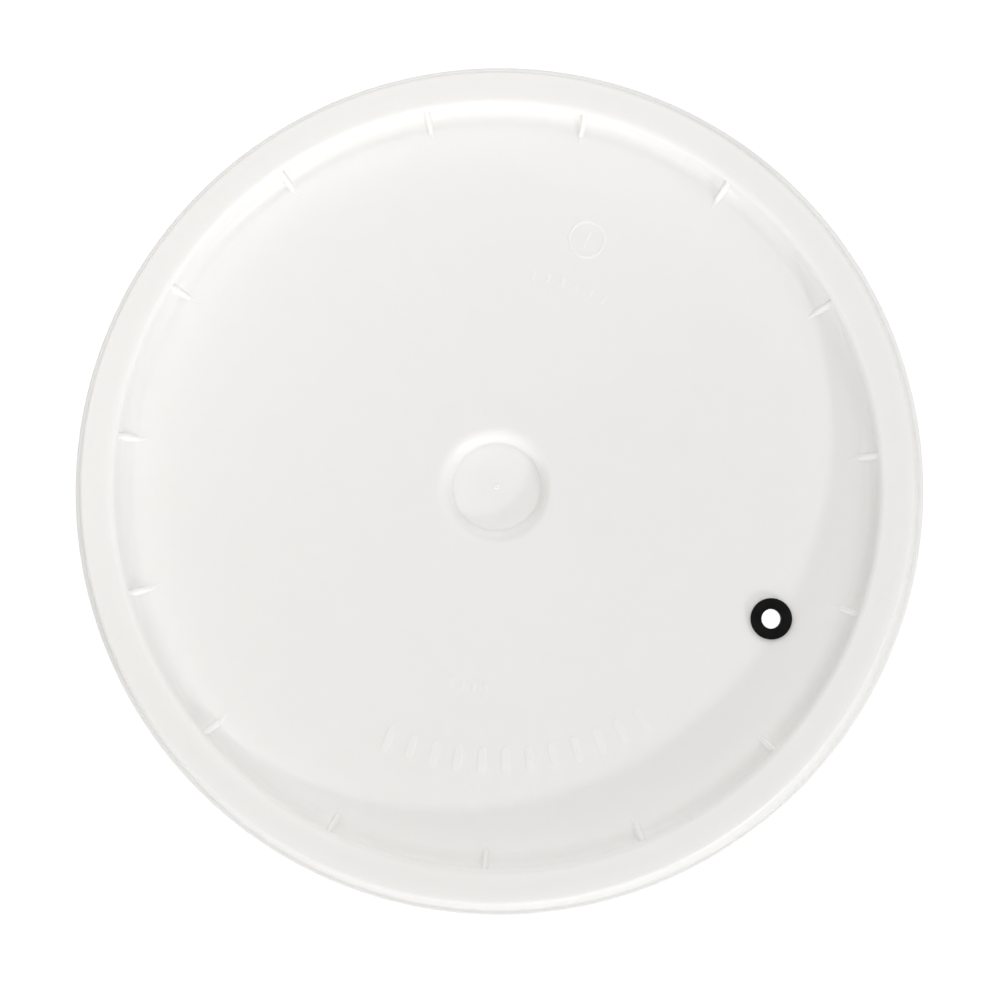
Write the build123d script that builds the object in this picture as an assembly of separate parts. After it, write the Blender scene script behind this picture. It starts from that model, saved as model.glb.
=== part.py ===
from build123d import *
import math
import os

# Press-on lid for a round plastic fermenting bucket, with its rim gasket and its airlock
# grommet. Millimetres. The origin is the centre of the plane that the skirt's foot stands
# on, +Z is up the lid's axis, and angles are counter-clockwise from +X seen from above.
# Every outline below is a half section: a list of (radius, height, corner radius).

# Lid shell, outside
FOOT_RADIUS = 157.75          # outer edge of the foot flange
OVERALL_HEIGHT = 25.4         # foot to crown
FOOT_THICKNESS = 2.4          # foot flange, top to bottom
FOOT_LEDGE = 1.85             # how far the foot flange stands out from the skirt
SKIRT_DRAFT = 11.5            # degrees, the skirt flares towards its foot
SHOULDER_ROUND = 1.2          # outer edge of the crown
CROWN_FLAT_RADIUS = 146.2     # outside this the crown falls away a little
CROWN_FALL = 0.2
CROWN_BREAK_ROUND = 20.0      # eases the flat into the fall

# Lid shell, recess and panel
WALL = 2.3                    # panel, plug and crown
SKIRT_WALL = 2.1
RECESS_DEPTH = 12.0           # crown to panel
RECESS_RADIUS = 138.3         # plug wall at the panel, before its round
PLUG_DRAFT = 3.6              # degrees, the recess opens towards the crown
CROWN_INNER_ROUND = 2.0
PANEL_CORNER_ROUND = 5.0
PLUG_NOSE_ROUND = 3.2         # underside of the plug, where it enters the pail

# Snap bead, a ring inside the skirt that catches under the pail's lip
BEAD_HEIGHT = 8.9             # middle of the bead above the foot
BEAD_HALF_LAND = 0.4
BEAD_RADIUS = 150.7
BEAD_LEAD = 1.7               # height of the sloping side below the land
BEAD_CATCH = 1.0              # height of the sloping side above it

# Centre dimple, which keeps the moulding gate below the panel
DIMPLE_DEPTH = 5.5
DIMPLE_FLOOR_RADIUS = 16.3
DIMPLE_MOUTH_RADIUS = 19.0
DIMPLE_FLOOR_ROUND = 1.0
DIMPLE_MOUTH_ROUND = 4.2
DIMPLE_NOSE_ROUND = 3.0       # underside of its floor
GATE_RADIUS = 0.9
GATE_HEIGHT = 0.45
GATE_PIT_RADIUS = 0.3

# Gussets, thin fins in the corner between the plug wall and the panel
GUSSET_COUNT = 15
GUSSET_FIRST_ANGLE = 4.4
GUSSET_THICKNESS = 1.8
GUSSET_FOOT_RADIUS = 132.5
GUSSET_TOP_RADIUS = 140.2
GUSSET_TOP_DROP = 0.25        # top of the fin below the crown
GUSSET_EDGE_ROUND = 0.7
GUSSET_ROOT = 0.8             # how far the fin is sunk into the panel and the wall

# Plain raised bars and ring on the panel
RELIEF_HEIGHT = 0.3
RELIEF_ROOT = 0.4             # how far each mark is sunk into the panel
BAND_RADIUS = 100.5
BAND_FIRST_ANGLE = 247.0
BAND_LAST_ANGLE = 302.0
BAND_BARS = 12
BAND_BAR_LENGTH = 9.5         # along the radius
BAND_BAR_WIDTH = 3.0
SMALL_BAR_LENGTH = 3.6
SMALL_BAR_WIDTH = 1.4
UPPER_ROW_RADIUS = 79.0
UPPER_ROW_FIRST_ANGLE = 60.0
UPPER_ROW_LAST_ANGLE = 80.0
UPPER_ROW_BARS = 6
LOWER_ROW_RADIUS = 74.0
LOWER_ROW_FIRST_ANGLE = 257.0
LOWER_ROW_LAST_ANGLE = 267.0
LOWER_ROW_BARS = 4
RING_POSITION_RADIUS = 97.0
RING_POSITION_ANGLE = 69.8
RING_RADIUS = 7.0
RING_LINE = 0.9

# Rim gasket, a rubber ring in the top of the rim's channel
GASKET_THICKNESS = 2.9
GASKET_SIDE_GAP = 0.15
GASKET_ROUND = 0.7

# Airlock grommet
GROMMET_POSITION_RADIUS = 111.6
GROMMET_POSITION_ANGLE = -25.9
PANEL_HOLE_RADIUS = 6.0
GROMMET_FLANGE_RADIUS = 7.55
GROMMET_FLANGE_THICKNESS = 1.9
GROMMET_BORE_RADIUS = 3.6
GROMMET_OUTER_ROUND = 0.8
GROMMET_MOUTH_ROUND = 0.5

# Worked out from the above
PANEL_TOP = OVERALL_HEIGHT - RECESS_DEPTH
PANEL_UNDERSIDE = PANEL_TOP - WALL
CHANNEL_TOP = OVERALL_HEIGHT - WALL
PLUG_SLOPE = math.tan(math.radians(PLUG_DRAFT))
SKIRT_SLOPE = math.tan(math.radians(SKIRT_DRAFT))
PLUG_WALL_ACROSS = WALL / math.cos(math.radians(PLUG_DRAFT))
SKIRT_WALL_ACROSS = SKIRT_WALL / math.cos(math.radians(SKIRT_DRAFT))


def recess_face(height):
    """Radius of the recess's wall at a height above the foot."""
    return RECESS_RADIUS + (height - PANEL_TOP) * PLUG_SLOPE


def plug_face(height):
    """Radius of the plug's outer face, inside the channel."""
    return recess_face(height) + PLUG_WALL_ACROSS


def skirt_face(height):
    """Radius of the skirt's outer face."""
    return FOOT_RADIUS - FOOT_LEDGE - (height - FOOT_THICKNESS) * SKIRT_SLOPE


def channel_face(height):
    """Radius of the skirt's inner face."""
    return skirt_face(height) - SKIRT_WALL_ACROSS


def turned(section):
    """A closed half section, corners rounded, turned a full circle about the Z axis."""
    points = [(radius, height) for radius, height, corner in section]
    corners = [corner for radius, height, corner in section]
    with BuildPart() as body:
        with BuildSketch(Plane.XZ):
            with BuildLine():
                FilletPolyline(*points, radius=corners, close=True)
            make_face()
        revolve(axis=Axis.Z)
    return body.part


def at_polar(radius, angle, height=0.0):
    """A place on the panel, turned so that its own X axis points away from the centre."""
    turn = math.radians(angle)
    return Location((radius * math.cos(turn), radius * math.sin(turn), height), (0, 0, angle))


def spread(first, last, count):
    """Evenly spaced angles from first to last."""
    return [first + (last - first) * index / (count - 1) for index in range(count)]


def shell_body():
    """Panel, plug, crown, skirt and foot, one moulding of nearly even wall."""
    dimple_top = PANEL_TOP - DIMPLE_DEPTH
    dimple_slope = (DIMPLE_MOUTH_RADIUS - DIMPLE_FLOOR_RADIUS) / DIMPLE_DEPTH
    dimple_across = WALL * math.hypot(1.0, dimple_slope)
    under_mouth = DIMPLE_MOUTH_RADIUS + dimple_across - WALL * dimple_slope
    under_floor = DIMPLE_FLOOR_RADIUS + dimple_across - WALL * dimple_slope
    land_low = BEAD_HEIGHT - BEAD_HALF_LAND
    land_high = BEAD_HEIGHT + BEAD_HALF_LAND
    bead_low = land_low - BEAD_LEAD
    bead_high = land_high + BEAD_CATCH
    shoulder = OVERALL_HEIGHT - CROWN_FALL
    return turned([
        (0.0, dimple_top, 0.0),
        (DIMPLE_FLOOR_RADIUS, dimple_top, DIMPLE_FLOOR_ROUND),
        (DIMPLE_MOUTH_RADIUS, PANEL_TOP, DIMPLE_MOUTH_ROUND),
        (recess_face(PANEL_TOP), PANEL_TOP, PANEL_CORNER_ROUND),
        (recess_face(OVERALL_HEIGHT), OVERALL_HEIGHT, CROWN_INNER_ROUND),
        (CROWN_FLAT_RADIUS, OVERALL_HEIGHT, CROWN_BREAK_ROUND),
        (skirt_face(shoulder), shoulder, SHOULDER_ROUND),
        (skirt_face(FOOT_THICKNESS), FOOT_THICKNESS, 0.8),
        (FOOT_RADIUS, FOOT_THICKNESS, 0.8),
        (FOOT_RADIUS, 0.0, 0.8),
        (channel_face(0.0), 0.0, 0.9),
        (channel_face(bead_low), bead_low, 0.8),
        (BEAD_RADIUS, land_low, 0.5),
        (BEAD_RADIUS, land_high, 0.35),
        (channel_face(bead_high), bead_high, 0.4),
        (channel_face(CHANNEL_TOP), CHANNEL_TOP, 0.6),
        (plug_face(CHANNEL_TOP), CHANNEL_TOP, 0.6),
        (plug_face(PANEL_UNDERSIDE), PANEL_UNDERSIDE, PLUG_NOSE_ROUND),
        (under_mouth, PANEL_UNDERSIDE, 1.0),
        (under_floor, dimple_top - WALL, DIMPLE_NOSE_ROUND),
        (0.0, dimple_top - WALL, 0.0),
    ])


def gusset():
    """One fin along +X, rounded on its sloping edge and sunk into the panel and the wall."""
    top = OVERALL_HEIGHT - GUSSET_TOP_DROP
    outline = [
        (GUSSET_FOOT_RADIUS, PANEL_TOP),
        (GUSSET_TOP_RADIUS, top),
        (recess_face(top) + GUSSET_ROOT, top - CROWN_INNER_ROUND),
        (recess_face(PANEL_TOP) + GUSSET_ROOT, PANEL_TOP - GUSSET_ROOT),
        (GUSSET_FOOT_RADIUS, PANEL_TOP - GUSSET_ROOT),
    ]
    with BuildPart() as fin:
        with BuildSketch(Plane.XZ):
            with BuildLine():
                Polyline(*outline, close=True)
            make_face()
        extrude(amount=GUSSET_THICKNESS / 2, both=True)
        middle = ((GUSSET_FOOT_RADIUS + GUSSET_TOP_RADIUS) / 2, (PANEL_TOP + top) / 2)
        sloping = [
            edge for edge in fin.edges()
            if math.hypot(edge.center().X - middle[0], edge.center().Z - middle[1]) < 0.01
        ]
        fillet(sloping, GUSSET_EDGE_ROUND)
    return fin.part


def raised_bar(length, width):
    """A plain bar with round ends, its length along X, that stands out of the panel."""
    with BuildPart() as bar:
        with BuildSketch(Plane.XY.offset(PANEL_TOP - RELIEF_ROOT)):
            SlotOverall(length, width)
        extrude(amount=RELIEF_ROOT + RELIEF_HEIGHT)
    return bar.part


def raised_ring():
    """A plain thin ring with one short bar across its middle."""
    with BuildPart() as ring:
        with BuildSketch(Plane.XY.offset(PANEL_TOP - RELIEF_ROOT)):
            Circle(RING_RADIUS)
            Circle(RING_RADIUS - RING_LINE, mode=Mode.SUBTRACT)
            SlotOverall(RING_RADIUS, RING_LINE)
        extrude(amount=RELIEF_ROOT + RELIEF_HEIGHT)
    return ring.part


def gate():
    """The moulding gate's stub, a low button with a pit in its middle."""
    floor = PANEL_TOP - DIMPLE_DEPTH
    return turned([
        (GATE_PIT_RADIUS, floor - RELIEF_ROOT, 0.0),
        (GATE_RADIUS, floor - RELIEF_ROOT, 0.0),
        (GATE_RADIUS, floor + GATE_HEIGHT, 0.3),
        (GATE_PIT_RADIUS, floor + GATE_HEIGHT, 0.0),
    ])


def lid_shell():
    shell = shell_body()
    fin = gusset()
    pitch = 360.0 / GUSSET_COUNT
    additions = [
        Location((0, 0, 0), (0, 0, GUSSET_FIRST_ANGLE + pitch * index)) * fin
        for index in range(GUSSET_COUNT)
    ]
    band_bar = raised_bar(BAND_BAR_LENGTH, BAND_BAR_WIDTH)
    small_bar = raised_bar(SMALL_BAR_LENGTH, SMALL_BAR_WIDTH)
    for angle in spread(BAND_FIRST_ANGLE, BAND_LAST_ANGLE, BAND_BARS):
        additions.append(at_polar(BAND_RADIUS, angle) * band_bar)
    for angle in spread(UPPER_ROW_FIRST_ANGLE, UPPER_ROW_LAST_ANGLE, UPPER_ROW_BARS):
        additions.append(at_polar(UPPER_ROW_RADIUS, angle) * small_bar)
    for angle in spread(LOWER_ROW_FIRST_ANGLE, LOWER_ROW_LAST_ANGLE, LOWER_ROW_BARS):
        additions.append(at_polar(LOWER_ROW_RADIUS, angle) * small_bar)
    additions.append(at_polar(RING_POSITION_RADIUS, RING_POSITION_ANGLE) * raised_ring())
    additions.append(gate())
    shell = shell + additions
    hole = Cylinder(PANEL_HOLE_RADIUS, 4 * WALL)
    middle_of_panel = (PANEL_TOP + PANEL_UNDERSIDE) / 2
    return shell - at_polar(GROMMET_POSITION_RADIUS, GROMMET_POSITION_ANGLE, middle_of_panel) * hole


def rim_gasket():
    """Rubber ring against the channel's top, filling it from plug to skirt."""
    inner = plug_face(CHANNEL_TOP) + GASKET_SIDE_GAP
    outer = channel_face(CHANNEL_TOP) - GASKET_SIDE_GAP
    underside = CHANNEL_TOP - GASKET_THICKNESS
    return turned([
        (inner, underside, GASKET_ROUND),
        (outer, underside, GASKET_ROUND),
        (outer, CHANNEL_TOP, GASKET_ROUND),
        (inner, CHANNEL_TOP, GASKET_ROUND),
    ])


def airlock_grommet():
    """Rubber ring whose groove holds the edge of the panel's hole."""
    top = PANEL_TOP + GROMMET_FLANGE_THICKNESS
    bottom = PANEL_UNDERSIDE - GROMMET_FLANGE_THICKNESS
    grommet = turned([
        (GROMMET_BORE_RADIUS, bottom, GROMMET_MOUTH_ROUND),
        (GROMMET_FLANGE_RADIUS, bottom, GROMMET_OUTER_ROUND),
        (GROMMET_FLANGE_RADIUS, PANEL_UNDERSIDE, 0.0),
        (PANEL_HOLE_RADIUS, PANEL_UNDERSIDE, 0.0),
        (PANEL_HOLE_RADIUS, PANEL_TOP, 0.0),
        (GROMMET_FLANGE_RADIUS, PANEL_TOP, 0.0),
        (GROMMET_FLANGE_RADIUS, top, GROMMET_OUTER_ROUND),
        (GROMMET_BORE_RADIUS, top, GROMMET_MOUTH_ROUND),
    ])
    return at_polar(GROMMET_POSITION_RADIUS, GROMMET_POSITION_ANGLE) * grommet


def main():
    os.makedirs("parts", exist_ok=True)
    nodes = {
        "lid_shell": lid_shell(),
        "rim_gasket": rim_gasket(),
        "airlock_grommet": airlock_grommet(),
    }
    for name, solid in nodes.items():
        export_step(solid, f"parts/{name}.step")


main()
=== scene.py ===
"""The looks of a press-on pail lid: a milky moulding turned as one mesh, a gasket and an airlock grommet."""
import math

import bmesh
import bpy
from mathutils import Matrix, Vector, noise


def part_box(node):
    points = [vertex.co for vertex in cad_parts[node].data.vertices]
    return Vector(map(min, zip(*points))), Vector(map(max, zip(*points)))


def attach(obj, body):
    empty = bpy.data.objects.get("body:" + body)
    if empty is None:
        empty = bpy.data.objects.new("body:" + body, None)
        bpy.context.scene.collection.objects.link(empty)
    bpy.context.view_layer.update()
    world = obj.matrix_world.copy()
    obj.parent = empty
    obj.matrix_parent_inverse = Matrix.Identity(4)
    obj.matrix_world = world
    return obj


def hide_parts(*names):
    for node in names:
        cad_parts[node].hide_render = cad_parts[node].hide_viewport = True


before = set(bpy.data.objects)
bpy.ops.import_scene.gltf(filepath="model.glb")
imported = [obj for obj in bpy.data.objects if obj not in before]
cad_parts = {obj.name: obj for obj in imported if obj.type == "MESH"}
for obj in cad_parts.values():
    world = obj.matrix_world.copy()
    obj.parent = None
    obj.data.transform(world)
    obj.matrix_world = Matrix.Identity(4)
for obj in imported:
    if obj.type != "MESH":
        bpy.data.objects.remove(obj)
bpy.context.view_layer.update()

MM = 0.001

# --- sizes of the moulding, in millimetres, as the CAD has them -----------------------------------
SHELL_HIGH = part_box("lid_shell")[1]
FOOT_RADIUS = SHELL_HIGH.x / MM
OVERALL_HEIGHT = SHELL_HIGH.z / MM
FOOT_THICKNESS = 2.4
FOOT_LEDGE = 1.85
FOOT_ROUND = 0.8
SKIRT_FLARE = math.radians(11.5)
SKIRT_WALL = 2.1
SKIRT_SLOPE = math.tan(SKIRT_FLARE)
SKIRT_WALL_ACROSS = SKIRT_WALL / math.cos(SKIRT_FLARE)
SHOULDER_ROUND = 1.2
CROWN_FLAT_RADIUS = 146.2
CROWN_FALL = 0.2
CROWN_FALL_ROUND = 20.0
CROWN_INNER_ROUND = 2.0
WALL = 2.3
RECESS_DEPTH = 12.0
RECESS_RADIUS = 138.3
PANEL_CORNER_ROUND = 5.0
PLUG_DRAFT = math.radians(3.6)
PLUG_SLOPE = math.tan(PLUG_DRAFT)
PLUG_WALL_ACROSS = WALL / math.cos(PLUG_DRAFT)
PLUG_NOSE_ROUND = 3.2
PANEL_TOP = OVERALL_HEIGHT - RECESS_DEPTH
PANEL_UNDERSIDE = PANEL_TOP - WALL
CHANNEL_TOP = OVERALL_HEIGHT - WALL

BEAD_RADIUS = 150.7
BEAD_HEIGHTS = (6.8, 8.5, 9.3, 10.3)    # foot of the lead, land, land, foot of the catch

DIMPLE_DEPTH = 5.5
DIMPLE_FLOOR_RADIUS = 16.3
DIMPLE_MOUTH_RADIUS = 19.0
DIMPLE_MOUTH_ROUND = 4.2
GATE_RADIUS = 0.9
GATE_PIT_RADIUS = 0.3
GATE_PIT_DEPTH = 0.2
GATE_HEIGHT = 0.45

GUSSET_COUNT = 15
GUSSET_FIRST_ANGLE = 4.4
GUSSET_HALF_THICKNESS = 0.9
GUSSET_FOOT = Vector((132.5, PANEL_TOP))
GUSSET_TOP = Vector((140.2, OVERALL_HEIGHT - 0.25))

GROMMET_LOW, GROMMET_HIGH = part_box("airlock_grommet")
GROMMET_CENTRE = (GROMMET_LOW + GROMMET_HIGH) / 2 / MM
PANEL_HOLE_RADIUS = 6.0

RELIEF_HEIGHT = 0.3
RELIEF_ROOT = 0.4             # how far a mark reaches down into the panel
RELIEF_SOFTENING = 0.15
BAR_ROWS = [                  # radius, first and last angle, count, length and width
    (100.5, 247.0, 302.0, 12, 9.5, 3.0),
    (79.0, 60.0, 80.0, 6, 3.6, 1.4),
    (74.0, 257.0, 267.0, 4, 3.6, 1.4),
]
RING_MARK_REACH = 97.0
RING_MARK_ANGLE = 69.8
RING_MARK_RADIUS = 7.0
RING_MARK_LINE = 0.9

# --- how the panel strays from flat, in millimetres -----------------------------------------------
SLOW_WAVE = 110.0
SLOW_SWAY = 0.45
SLOW_START = Vector((3.1, 7.7, 0.4))
QUICK_WAVE = 45.0
QUICK_SWAY = 0.08
QUICK_START = Vector((9.2, 1.3, 5.8))
RIM_EASE = 30.0               # the waves fade out over this width beside the gussets
GROMMET_FLAT = 12.0           # no waves within this radius of the grommet
GROMMET_EASE = 25.0

# --- how finely the moulding is turned ------------------------------------------------------------
ON_AXIS = 1e-6
CENTRE_REACH = 27.0           # inside this radius, few columns
CENTRE_COLUMNS = 96
PANEL_REACH = 130.0           # inside this radius, no gusset
PANEL_COLUMNS = 180
OVER_CROWN_RADIUS = CROWN_FLAT_RADIUS - 3.0    # from here outwards, no gusset
RIM_COLUMNS = 360
BETWEEN_GUSSETS = 20
GUSSET_SIDE_BLEND = 0.26      # how quickly a gusset's side turns into its top and its root
GUSSET_ROOT_REACH = 2.1       # how far its root spreads to each side of its middle
GUSSET_SHARES = (0.015, 0.07, 0.2, 0.4, 0.6, 0.8, 0.93, 0.985)
ARC_STEP = math.radians(11.0)
RUN_STEP = 6.0
EDGE_GUARD = 0.25             # a ring this close to each round keeps flats flat
CREASE_ANGLE = 35.0

# --- camera and ground, in metres and degrees -----------------------------------------------------
CAMERA_DIRECTION = 300.0
CAMERA_TILT = 3.8
CAMERA_DISTANCE = 0.9
CAMERA_TARGET = Vector((0.00103, -0.00448, 0.0))
CAMERA_LENS = 86.95
CAMERA_SENSOR = 36.0
GROUND_RADIUS = 6.0
CARD_DROP = 0.001             # how far the outer grey card lies below the paper
CARD_RISE = 0.0002
BORE_LIGHT_PATCH_RISE = 0.0004


def recess_face(height):
    return RECESS_RADIUS + (height - PANEL_TOP) * PLUG_SLOPE


def plug_face(height):
    return recess_face(height) + PLUG_WALL_ACROSS


def skirt_face(height):
    return FOOT_RADIUS - FOOT_LEDGE - (height - FOOT_THICKNESS) * SKIRT_SLOPE


def channel_face(height):
    return skirt_face(height) - SKIRT_WALL_ACROSS


def facing_out(radius, angle):
    """A place at a radius and an angle in degrees, with its X axis along the radius."""
    turn = math.radians(angle)
    centre = Vector((radius * math.cos(turn), radius * math.sin(turn), 0.0))
    return Matrix.Translation(centre) @ Matrix.Rotation(turn, 4, "Z")


# --- outlines -------------------------------------------------------------------------------------
def round_corner(before, corner, after, radius):
    """Points along the arc that rounds one corner of an outline."""
    if radius == 0:
        return [corner]
    back = (before - corner).normalized()
    on = (after - corner).normalized()
    half = back.angle(on) / 2
    centre = corner + (back + on).normalized() * (radius / math.sin(half))
    start = corner + back * (radius / math.tan(half)) - centre
    end = corner + on * (radius / math.tan(half)) - centre
    sweep = start.angle_signed(end)
    steps = max(3, math.ceil(abs(sweep) / ARC_STEP))
    arc = []
    for index in range(steps + 1):
        turn = -sweep * index / steps
        cosine, sine = math.cos(turn), math.sin(turn)
        arc.append(centre + Vector((start.x * cosine - start.y * sine, start.x * sine + start.y * cosine)))
    return arc


def run_points(first, last):
    """Points strictly between two ends: a guard near each and even steps between."""
    length = (last - first).length
    if length < 4 * EDGE_GUARD:
        return []
    along = (last - first).normalized()
    inner = length - 2 * EDGE_GUARD
    steps = max(1, math.ceil(inner / RUN_STEP))
    return [first + along * (EDGE_GUARD + inner * index / steps) for index in range(steps + 1)]


def rounded_outline(corners):
    """An open outline of (radius, height, corner radius) as points: arcs at corners, guarded runs."""
    places = [Vector((radius, height)) for radius, height, corner in corners]
    points = [places[0]]
    for index in range(1, len(corners)):
        if index + 1 < len(corners):
            arc = round_corner(places[index - 1], places[index], places[index + 1], corners[index][2])
        else:
            arc = [places[index]]
        points += run_points(points[-1], arc[0]) + arc
    return points


def shell_outline():
    """The moulding's half section, from the axis out over the top and back below."""
    dimple_floor = PANEL_TOP - DIMPLE_DEPTH
    gate_top = dimple_floor + GATE_HEIGHT
    slope = (DIMPLE_MOUTH_RADIUS - DIMPLE_FLOOR_RADIUS) / DIMPLE_DEPTH
    below = WALL * math.hypot(1.0, slope) - WALL * slope
    shoulder = OVERALL_HEIGHT - CROWN_FALL
    lead, land_low, land_high, catch = BEAD_HEIGHTS
    return rounded_outline([
        (0.0, dimple_floor - GATE_PIT_DEPTH, 0.0),
        (GATE_PIT_RADIUS, dimple_floor - GATE_PIT_DEPTH, 0.1),
        (GATE_PIT_RADIUS, gate_top, 0.1),
        (GATE_RADIUS, gate_top, 0.25),
        (GATE_RADIUS + 0.1, dimple_floor, 0.15),
        (DIMPLE_FLOOR_RADIUS, dimple_floor, 1.0),
        (DIMPLE_MOUTH_RADIUS, PANEL_TOP, DIMPLE_MOUTH_ROUND),
        (recess_face(PANEL_TOP), PANEL_TOP, PANEL_CORNER_ROUND),
        (recess_face(OVERALL_HEIGHT), OVERALL_HEIGHT, CROWN_INNER_ROUND),
        (CROWN_FLAT_RADIUS, OVERALL_HEIGHT, CROWN_FALL_ROUND),
        (skirt_face(shoulder), shoulder, SHOULDER_ROUND),
        (skirt_face(FOOT_THICKNESS), FOOT_THICKNESS, FOOT_ROUND),
        (FOOT_RADIUS, FOOT_THICKNESS, FOOT_ROUND),
        (FOOT_RADIUS, 0.0, FOOT_ROUND),
        (channel_face(0.0), 0.0, 0.9),
        (channel_face(lead), lead, 0.8),
        (BEAD_RADIUS, land_low, 0.5),
        (BEAD_RADIUS, land_high, 0.35),
        (channel_face(catch), catch, 0.4),
        (channel_face(CHANNEL_TOP), CHANNEL_TOP, 0.6),
        (plug_face(CHANNEL_TOP), CHANNEL_TOP, 0.6),
        (plug_face(PANEL_UNDERSIDE), PANEL_UNDERSIDE, PLUG_NOSE_ROUND),
        (DIMPLE_MOUTH_RADIUS + below, PANEL_UNDERSIDE, 1.0),
        (DIMPLE_FLOOR_RADIUS + below, dimple_floor - WALL, 3.0),
        (0.0, dimple_floor - WALL, 0.0),
    ])


# --- the turned body ------------------------------------------------------------------------------
def even_columns(count):
    """Evenly spaced (angle, gusset share) pairs with no gusset in them."""
    return [(2 * math.pi * index / count, 0.0) for index in range(count)]


def gusset_columns():
    """Columns that crowd together at each gusset. The share is 1 on its top and 0 beside it."""
    side = [(GUSSET_ROOT_REACH, 0.0)]
    for share in GUSSET_SHARES:
        side.append((GUSSET_HALF_THICKNESS - GUSSET_SIDE_BLEND * math.atanh(2 * share - 1), share))
    across = [(-offset, share) for offset, share in side] + [(0.0, 1.0)] + list(reversed(side))
    pitch = 2 * math.pi / GUSSET_COUNT
    reach = GUSSET_ROOT_REACH / RECESS_RADIUS
    columns = []
    for index in range(GUSSET_COUNT):
        middle = math.radians(GUSSET_FIRST_ANGLE) + pitch * index
        columns += [(middle + offset / RECESS_RADIUS, share) for offset, share in across]
        for step in range(1, BETWEEN_GUSSETS):
            columns.append((middle + reach + (pitch - 2 * reach) * step / BETWEEN_GUSSETS, 0.0))
    return columns


def on_gusset(point, share):
    """Moves a point of the recess's corner out to the gusset's sloping edge, by a share of the way."""
    along = (GUSSET_TOP - GUSSET_FOOT).normalized()
    out = Vector((-along.y, along.x))
    from_foot = point - GUSSET_FOOT
    gap = -from_foot.dot(out)
    if share == 0.0 or gap <= 0.0 or from_foot.dot(along) > (GUSSET_TOP - GUSSET_FOOT).length:
        return point
    return point + out * (gap * share)


def add_ring(mesh, point, columns):
    """One ring of vertices. A point on the axis is a single vertex."""
    if point.x < ON_AXIS:
        return [mesh.verts.new((0.0, 0.0, point.y * MM))]
    ring = []
    for angle, share in columns:
        place = on_gusset(point, share)
        reach = place.x * MM
        ring.append(mesh.verts.new((reach * math.cos(angle), reach * math.sin(angle), place.y * MM)))
    return ring


def angle_of(columns, index):
    """The angle of a column, counting on past a full turn."""
    return columns[index % len(columns)][0] + 2 * math.pi * (index // len(columns))


def join_rings(mesh, ring, columns, following, following_columns):
    """Faces between two rings. Where their columns differ, triangles step along whichever ring is behind."""
    if len(ring) == 1 or len(following) == 1:
        tip, around = (ring[0], following) if len(ring) == 1 else (following[0], ring)
        for index in range(len(around)):
            mesh.faces.new((tip, around[index - 1], around[index]))
        return
    if columns is following_columns:
        for index in range(len(ring)):
            mesh.faces.new((ring[index - 1], following[index - 1], following[index], ring[index]))
        return
    near, far = 0, 0
    while near < len(ring) or far < len(following):
        near_next = angle_of(columns, near + 1)
        far_next = angle_of(following_columns, far + 1)
        if far == len(following) or (near < len(ring) and near_next < far_next):
            mesh.faces.new((ring[near], ring[(near + 1) % len(ring)], following[far % len(following)]))
            near += 1
        else:
            mesh.faces.new((ring[near % len(ring)], following[(far + 1) % len(following)], following[far]))
            far += 1


def turned_shell():
    """The whole moulding but for its marks and the drilled hole."""
    centre, panel, rim = [even_columns(count) for count in (CENTRE_COLUMNS, PANEL_COLUMNS, RIM_COLUMNS)]
    gusseted = gusset_columns()
    mesh = bmesh.new()
    over_crown = False
    last_ring, last_columns = None, None
    for point in shell_outline():
        over_crown = over_crown or point.x > OVER_CROWN_RADIUS
        if point.x < CENTRE_REACH:
            columns = centre
        elif point.x < PANEL_REACH:
            columns = panel
        else:
            columns = rim if over_crown else gusseted
        ring = add_ring(mesh, point, columns)
        if last_ring:
            join_rings(mesh, last_ring, last_columns, ring, columns)
        last_ring, last_columns = ring, columns
    return finished(mesh, "lid_moulding")


def add_prism(mesh, outline, low, high, place, soften):
    """Extrudes a flat outline between two heights and softens its upper edge."""
    bottom = [mesh.verts.new(place @ Vector((x, y, low)) * MM) for x, y in outline]
    top = [mesh.verts.new(place @ Vector((x, y, high)) * MM) for x, y in outline]
    mesh.faces.new(list(reversed(bottom)))
    lid = mesh.faces.new(top)
    for index in range(len(outline)):
        mesh.faces.new((bottom[index - 1], bottom[index], top[index], top[index - 1]))
    if soften:
        bmesh.ops.bevel(mesh, geom=list(lid.edges), offset=soften * MM, segments=2, profile=0.6,
                        affect="EDGES", clamp_overlap=True)


def round_ended_bar(length, width, steps=8):
    """A bar's outline with round ends, along X."""
    half, radius = (length - width) / 2, width / 2
    points = []
    for side in (1, -1):
        for step in range(steps + 1):
            turn = math.pi * (step / steps - 0.5) + (0 if side == 1 else math.pi)
            points.append((side * half + radius * math.cos(turn), radius * math.sin(turn)))
    return points


def add_plain_ring(mesh, place, radius, line, steps=48):
    """A flat raised ring, made as a turned band with a softened top."""
    low, high, soft = PANEL_TOP - RELIEF_ROOT, PANEL_TOP + RELIEF_HEIGHT, RELIEF_SOFTENING
    section = [(radius - line, low), (radius - line, high - soft), (radius - line + soft, high),
               (radius - soft, high), (radius, high - soft), (radius, low)]
    rings = []
    for across, height in section:
        ring = []
        for step in range(steps):
            turn = 2 * math.pi * step / steps
            spot = Vector((across * math.cos(turn), across * math.sin(turn), height))
            ring.append(mesh.verts.new(place @ spot * MM))
        rings.append(ring)
    for index in range(len(rings)):
        for step in range(steps):
            mesh.faces.new((rings[index - 1][step - 1], rings[index - 1][step], rings[index][step],
                            rings[index][step - 1]))


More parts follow.
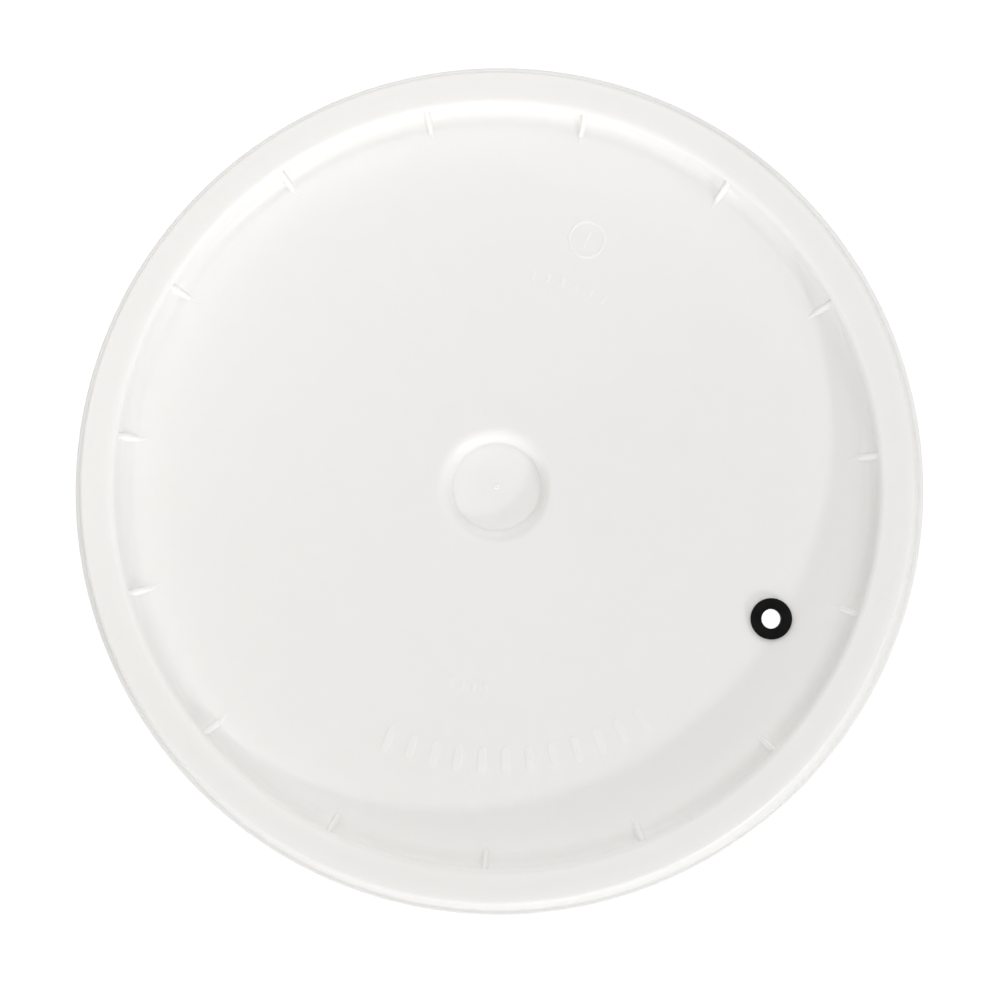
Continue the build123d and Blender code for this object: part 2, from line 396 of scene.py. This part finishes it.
def marks():
    """Plain raised bars and a ring with a bar in it, where the moulding carries its marks."""
    mesh = bmesh.new()
    low, high = PANEL_TOP - RELIEF_ROOT, PANEL_TOP + RELIEF_HEIGHT
    for radius, first, last, count, length, width in BAR_ROWS:
        for index in range(count):
            place = facing_out(radius, first + (last - first) * index / (count - 1))
            add_prism(mesh, round_ended_bar(length, width), low, high, place, RELIEF_SOFTENING)
    place = facing_out(RING_MARK_REACH, RING_MARK_ANGLE)
    add_plain_ring(mesh, place, RING_MARK_RADIUS, RING_MARK_LINE)
    add_prism(mesh, round_ended_bar(RING_MARK_RADIUS, RING_MARK_LINE), low, high, place, RELIEF_SOFTENING)
    return finished(mesh, "marks")


def drill():
    """The cutter for the hole that holds the grommet."""
    mesh = bmesh.new()
    place = Matrix.Translation(Vector((GROMMET_CENTRE.x, GROMMET_CENTRE.y, 0.0)))
    around = round_ended_bar(2 * PANEL_HOLE_RADIUS, 2 * PANEL_HOLE_RADIUS, 24)[1:-1]
    add_prism(mesh, around, PANEL_UNDERSIDE - WALL, PANEL_TOP + WALL, place, 0.0)
    return finished(mesh, "drill")


def finished(mesh, name):
    """Turns a bmesh into an object with outward normals."""
    bmesh.ops.recalc_face_normals(mesh, faces=mesh.faces)
    data = bpy.data.meshes.new(name)
    mesh.to_mesh(data)
    mesh.free()
    thing = bpy.data.objects.new(name, data)
    bpy.context.scene.collection.objects.link(thing)
    return thing


def combine(thing, other, operation):
    """Applies one exact boolean and removes the other object."""
    modifier = thing.modifiers.new("combine", "BOOLEAN")
    modifier.operation = operation
    modifier.solver = "EXACT"
    modifier.object = other
    evaluated = thing.evaluated_get(bpy.context.evaluated_depsgraph_get())
    joined = bpy.data.meshes.new_from_object(evaluated)
    thing.modifiers.clear()
    thing.data = joined
    bpy.data.objects.remove(other)


def warp_panel(thing):
    """Lets the panel stray from flat in slow waves, as a cooled moulding does, but not at its edges."""
    for vert in thing.data.vertices:
        place = Vector((vert.co.x, vert.co.y, 0.0)) / MM
        from_grommet = (place.xy - GROMMET_CENTRE.xy).length
        rim_ease = min(1.0, max(0.0, (PANEL_REACH - place.length) / RIM_EASE))
        grommet_ease = min(1.0, max(0.0, (from_grommet - GROMMET_FLAT) / GROMMET_EASE))
        slow = SLOW_SWAY * noise.noise(place / SLOW_WAVE + SLOW_START)
        quick = QUICK_SWAY * noise.noise(place / QUICK_WAVE + QUICK_START)
        vert.co.z += (slow + quick) * rim_ease * grommet_ease * MM


def smooth(thing, angle):
    """Smooth shading with creases kept, and large flats kept flat."""
    thing.data.polygons.foreach_set("use_smooth", [True] * len(thing.data.polygons))
    thing.data.set_sharp_from_angle(angle=math.radians(angle))
    weighted = thing.modifiers.new("even_normals", "WEIGHTED_NORMAL")
    weighted.keep_sharp = True


def lid_moulding():
    """The turned shell with its marks raised, its hole drilled and its panel no longer quite flat."""
    shell = turned_shell()
    combine(shell, marks(), "UNION")
    combine(shell, drill(), "DIFFERENCE")
    warp_panel(shell)
    smooth(shell, CREASE_ANGLE)
    return shell


# --- materials ------------------------------------------------------------------------------------
def new_material(name):
    """A material and its Principled shader."""
    material = bpy.data.materials.new(name)
    material.use_nodes = True
    return material, material.node_tree.nodes["Principled BSDF"]


def add_node(tree, kind, inputs=None, **settings):
    """Adds a node, sets its properties, and sets or links its inputs."""
    node = tree.nodes.new(kind)
    for key, value in settings.items():
        setattr(node, key, value)
    for key, value in (inputs or {}).items():
        if isinstance(value, bpy.types.NodeSocket):
            tree.links.new(value, node.inputs[key])
        else:
            node.inputs[key].default_value = value
    return node


def mixed_colour(tree, factor, first, second):
    """A colour between two, by a factor socket."""
    mix = add_node(tree, "ShaderNodeMix", {"Factor": factor}, data_type="RGBA")
    mix.inputs["A"].default_value = first
    mix.inputs["B"].default_value = second
    return mix.outputs["Result"]


def ranged(tree, value, low, high, to_low, to_high):
    """Maps a value socket from one range to another, clamped."""
    node = add_node(tree, "ShaderNodeMapRange", {"Value": value, "From Min": low, "From Max": high,
                                                 "To Min": to_low, "To Max": to_high})
    return node.outputs["Result"]


def noise_value(tree, where, scale, detail):
    node = add_node(tree, "ShaderNodeTexNoise", {"Vector": where, "Scale": scale, "Detail": detail})
    return node.outputs["Fac"]


def stretched_noise(tree, where, turn, stretch, scale, detail):
    """Noise drawn out along one direction of the panel, for rubbed marks."""
    turned = (0.0, 0.0, math.radians(turn))
    laid = add_node(tree, "ShaderNodeMapping", {"Vector": where, "Rotation": turned, "Scale": stretch})
    return noise_value(tree, laid.outputs["Vector"], scale, detail)


def flow_lines(tree, where):
    """Streaks that run out from the gate, where the melt flowed: noise in angle and distance."""
    parts = add_node(tree, "ShaderNodeSeparateXYZ", {"Vector": where}).outputs
    angle = add_node(tree, "ShaderNodeMath", {0: parts["Y"], 1: parts["X"]}, operation="ARCTAN2")
    reach = add_node(tree, "ShaderNodeVectorMath", {0: where}, operation="LENGTH").outputs["Value"]
    around = add_node(tree, "ShaderNodeMath", {0: angle.outputs["Value"], 1: 6.0}, operation="MULTIPLY")
    polar = add_node(tree, "ShaderNodeCombineXYZ", {"X": around.outputs["Value"], "Y": reach})
    return noise_value(tree, polar.outputs["Vector"], 5.0, 4.0)


FLOW_SHARE = 0.15    # how much the plastic's flow lines count beside its slow tint


def moulded_plastic():
    """Natural polyethylene: milky and satin, with flow lines, slow tint, tool grain and rubbed marks."""
    material, shader = new_material("natural_plastic")
    tree = material.node_tree
    where = add_node(tree, "ShaderNodeTexCoord").outputs["Object"]
    slow = noise_value(tree, where, 9.0, 3.0)
    flow = flow_lines(tree, where)
    blended = add_node(tree, "ShaderNodeMath", {0: flow, 1: FLOW_SHARE, 2: slow},
                       operation="MULTIPLY_ADD").outputs["Value"]
    tint = mixed_colour(tree, ranged(tree, blended, 0.35, 0.8, 0.0, 1.0), (0.901, 0.900, 0.890, 1.0),
                        (0.917, 0.918, 0.911, 1.0))
    tree.links.new(tint, shader.inputs["Base Color"])

    along = stretched_noise(tree, where, 32.0, (1.0, 9.0, 1.0), 60.0, 5.0)
    crossing = stretched_noise(tree, where, -58.0, (1.0, 14.0, 1.0), 45.0, 5.0)
    rubbed = ranged(tree, along, 0.60, 0.74, 0.0, 1.0)
    crossed = ranged(tree, crossing, 0.62, 0.76, 0.0, 1.0)
    scuffs = add_node(tree, "ShaderNodeMath", {0: rubbed, 1: crossed}, operation="MAXIMUM").outputs["Value"]
    tree.links.new(ranged(tree, scuffs, 0.0, 1.0, 0.33, 0.45), shader.inputs["Roughness"])
    shader.inputs["IOR"].default_value = 1.5
    shader.inputs["Subsurface Weight"].default_value = 0.6
    shader.inputs["Subsurface Radius"].default_value = (0.0034, 0.0032, 0.0030)
    shader.inputs["Subsurface Scale"].default_value = 1.0

    grain = noise_value(tree, where, 1400.0, 2.0)
    tool = add_node(tree, "ShaderNodeBump", {"Strength": 0.08, "Distance": 0.0002, "Height": grain})
    worn = add_node(tree, "ShaderNodeBump", {"Strength": 0.06, "Distance": 0.0003, "Height": scuffs,
                                             "Normal": tool.outputs["Normal"]})
    tree.links.new(worn.outputs["Normal"], shader.inputs["Normal"])
    return material


def plain_rubber(name, low, high, roughness, gloss):
    """Dull moulded rubber: a mottled colour, an uneven dull surface and a fine grain."""
    material, shader = new_material(name)
    tree = material.node_tree
    where = add_node(tree, "ShaderNodeTexCoord").outputs["Object"]
    mottle = noise_value(tree, where, 260.0, 4.0)
    colour = mixed_colour(tree, ranged(tree, mottle, 0.35, 0.65, 0.0, 1.0), low, high)
    tree.links.new(colour, shader.inputs["Base Color"])
    dullness = ranged(tree, mottle, 0.3, 0.7, roughness - 0.06, roughness + 0.06)
    tree.links.new(dullness, shader.inputs["Roughness"])
    shader.inputs["Specular IOR Level"].default_value = gloss
    grain = noise_value(tree, where, 1800.0, 3.0)
    bump = add_node(tree, "ShaderNodeBump", {"Strength": 0.15, "Distance": 0.0002, "Height": grain})
    tree.links.new(bump.outputs["Normal"], shader.inputs["Normal"])
    return material


def paint(thing, material):
    thing.data.materials.clear()
    thing.data.materials.append(material)


# --- the pieces -----------------------------------------------------------------------------------
moulding = lid_moulding()
paint(moulding, moulded_plastic())
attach(moulding, "root")
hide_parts("lid_shell")

paint(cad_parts["airlock_grommet"], plain_rubber("black_rubber", (0.002, 0.002, 0.002, 1.0),
                                                      (0.006, 0.006, 0.006, 1.0), 0.62, 0.12))
paint(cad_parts["rim_gasket"], plain_rubber("gasket_rubber", (0.60, 0.60, 0.58, 1.0),
                                                 (0.68, 0.68, 0.66, 1.0), 0.60, 0.40))


# --- floor, light and camera ----------------------------------------------------------------------
def add_disc(name, radius, centre, material):
    """A flat round piece of the set, in metres."""
    disc = bmesh.new()
    place = Matrix.Translation(centre)
    bmesh.ops.create_circle(disc, cap_ends=True, segments=96, radius=radius, matrix=place)
    thing = finished(disc, name)
    paint(thing, material)
    return thing


def stage_material(name, grey, glow):
    """A plain dull material for the set, which may glow."""
    material, shader = new_material(name)
    shader.inputs["Base Color"].default_value = (grey, grey, grey, 1.0)
    shader.inputs["Roughness"].default_value = 0.9
    shader.inputs["Specular IOR Level"].default_value = 0.0
    shader.inputs["Emission Color"].default_value = (1.0, 1.0, 1.0, 1.0)
    shader.inputs["Emission Strength"].default_value = glow
    return material


def white_ground():
    """Bright paper that gives the lid no diffuse light, a grey card under it, a dark card inside the lid as
    painted shade, and a glowing disc below the bore as a painted pool of light.
    """
    paper = stage_material("paper", 0.1, 1.0)
    floor = add_disc("floor", GROUND_RADIUS, Vector((0.0, 0.0, 0.0)), paper)
    floor.visible_diffuse = False
    pale_card = stage_material("grey", 0.68, 0.0)
    add_disc("card_around", GROUND_RADIUS, Vector((0.0, 0.0, -CARD_DROP)), pale_card)
    # Painted shade: a dark card inside the lid covers the glowing paper there and stands in for the shade
    # the lid casts on the floor.
    painted_shade_card = stage_material("card", 0.2, 0.0)
    add_disc("painted_shade_under_lid", (BEAD_RADIUS - 1.0) * MM, Vector((0.0, 0.0, CARD_RISE)), painted_shade_card)
    # Painted light: a disc of glowing paper below the bore stands in for the light that falls through the
    # hole onto the shaded floor.
    below_bore = Vector((GROMMET_CENTRE.x * MM, GROMMET_CENTRE.y * MM, BORE_LIGHT_PATCH_RISE))
    add_disc("painted_light_below_bore", PANEL_HOLE_RADIUS * MM, below_bore, paper)


def white_tent(colour):
    """Even light from all around, as in a light tent."""
    world = bpy.data.worlds.new("tent")
    world.use_nodes = True
    background = world.node_tree.nodes["Background"]
    background.inputs["Color"].default_value = colour
    background.inputs["Strength"].default_value = 1.0
    bpy.context.scene.world = world


def add_lamp(name, kind, direction, elevation, distance, strength, colour):
    """A lamp aimed at the lid. direction is counter-clockwise from +X, both angles in degrees."""
    turn, rise = math.radians(direction), math.radians(elevation)
    away = Vector((math.cos(turn) * math.cos(rise), math.sin(turn) * math.cos(rise), math.sin(rise)))
    light = bpy.data.lights.new(name, kind)
    light.energy = strength
    light.color = colour
    lamp = bpy.data.objects.new(name, light)
    lamp.location = away * distance
    lamp.rotation_mode = "QUATERNION"
    lamp.rotation_quaternion = away.to_track_quat("Z", "Y")
    bpy.context.scene.collection.objects.link(lamp)
    return lamp


def far_lamp(name, direction, elevation, width, strength, colour):
    """A lamp so far off that only its direction counts. width is how wide it looks, in degrees."""
    lamp = add_lamp(name, "SUN", direction, elevation, 2.0, strength, colour)
    lamp.data.angle = math.radians(width)
    return lamp


def soft_box(name, direction, elevation, distance, size, power, colour):
    """A round glowing panel. distance and size are in metres."""
    lamp = add_lamp(name, "AREA", direction, elevation, distance, power, colour)
    lamp.data.shape = "DISK"
    lamp.data.size = size


def low_fill(name, direction, strength):
    """A low light as the milky rim passes it on, as an even glow without a shadow or a highlight."""
    fill = far_lamp(name, direction, 18.0, 12.0, strength, (1.0, 1.0, 1.0))
    fill.data.use_shadow = False
    fill.visible_glossy = False


def lighting():
    """A pale tent, a low key from the lower right, a wide lamp behind, low fills and three soft boxes."""
    white_tent((0.490, 0.477, 0.464, 1.0))
    far_lamp("key", direction=308.0, elevation=23.0, width=4.0, strength=0.62, colour=(1.0, 1.0, 1.0))
    far_lamp("wide_back", direction=45.0, elevation=45.0, width=40.0, strength=0.40,
             colour=(1.03, 1.0, 0.96))
    low_fill("low_left", direction=240.0, strength=0.32)
    low_fill("low_front", direction=270.0, strength=0.70)
    low_fill("low_right", direction=300.0, strength=0.24)
    low_fill("low_back", direction=70.0, strength=0.22)
    soft_box("box_back", direction=90.0, elevation=60.0, distance=1.3, size=0.8, power=1.8,
             colour=(0.97, 1.0, 1.04))
    soft_box("box_corner", direction=135.0, elevation=60.0, distance=1.3, size=0.8, power=0.3,
             colour=(1.0, 1.0, 1.0))
    soft_box("box_left", direction=163.0, elevation=50.0, distance=0.65, size=0.35, power=0.37,
             colour=(1.05, 1.0, 0.90))


def camera():
    """Nearly overhead, moved a little towards +X and -Y, with +Y upwards in the picture."""
    direction, tilt = math.radians(CAMERA_DIRECTION), math.radians(CAMERA_TILT)
    eye = Vector((math.sin(tilt) * math.cos(direction), math.sin(tilt) * math.sin(direction),
                  math.cos(tilt))) * CAMERA_DISTANCE
    back = (eye - CAMERA_TARGET).normalized()
    up = (Vector((0, 1, 0)) - back * back.y).normalized()
    side = up.cross(back)
    data = bpy.data.cameras.new("camera")
    data.lens = CAMERA_LENS
    data.sensor_width = CAMERA_SENSOR
    data.clip_start = 0.01
    data.clip_end = 50.0
    thing = bpy.data.objects.new("camera", data)
    thing.matrix_world = Matrix.Translation(eye) @ Matrix((side, up, back)).transposed().to_4x4()
    bpy.context.scene.collection.objects.link(thing)
    bpy.context.scene.camera = thing


white_ground()
lighting()
camera()
bpy.context.scene.view_settings.view_transform = "Standard"
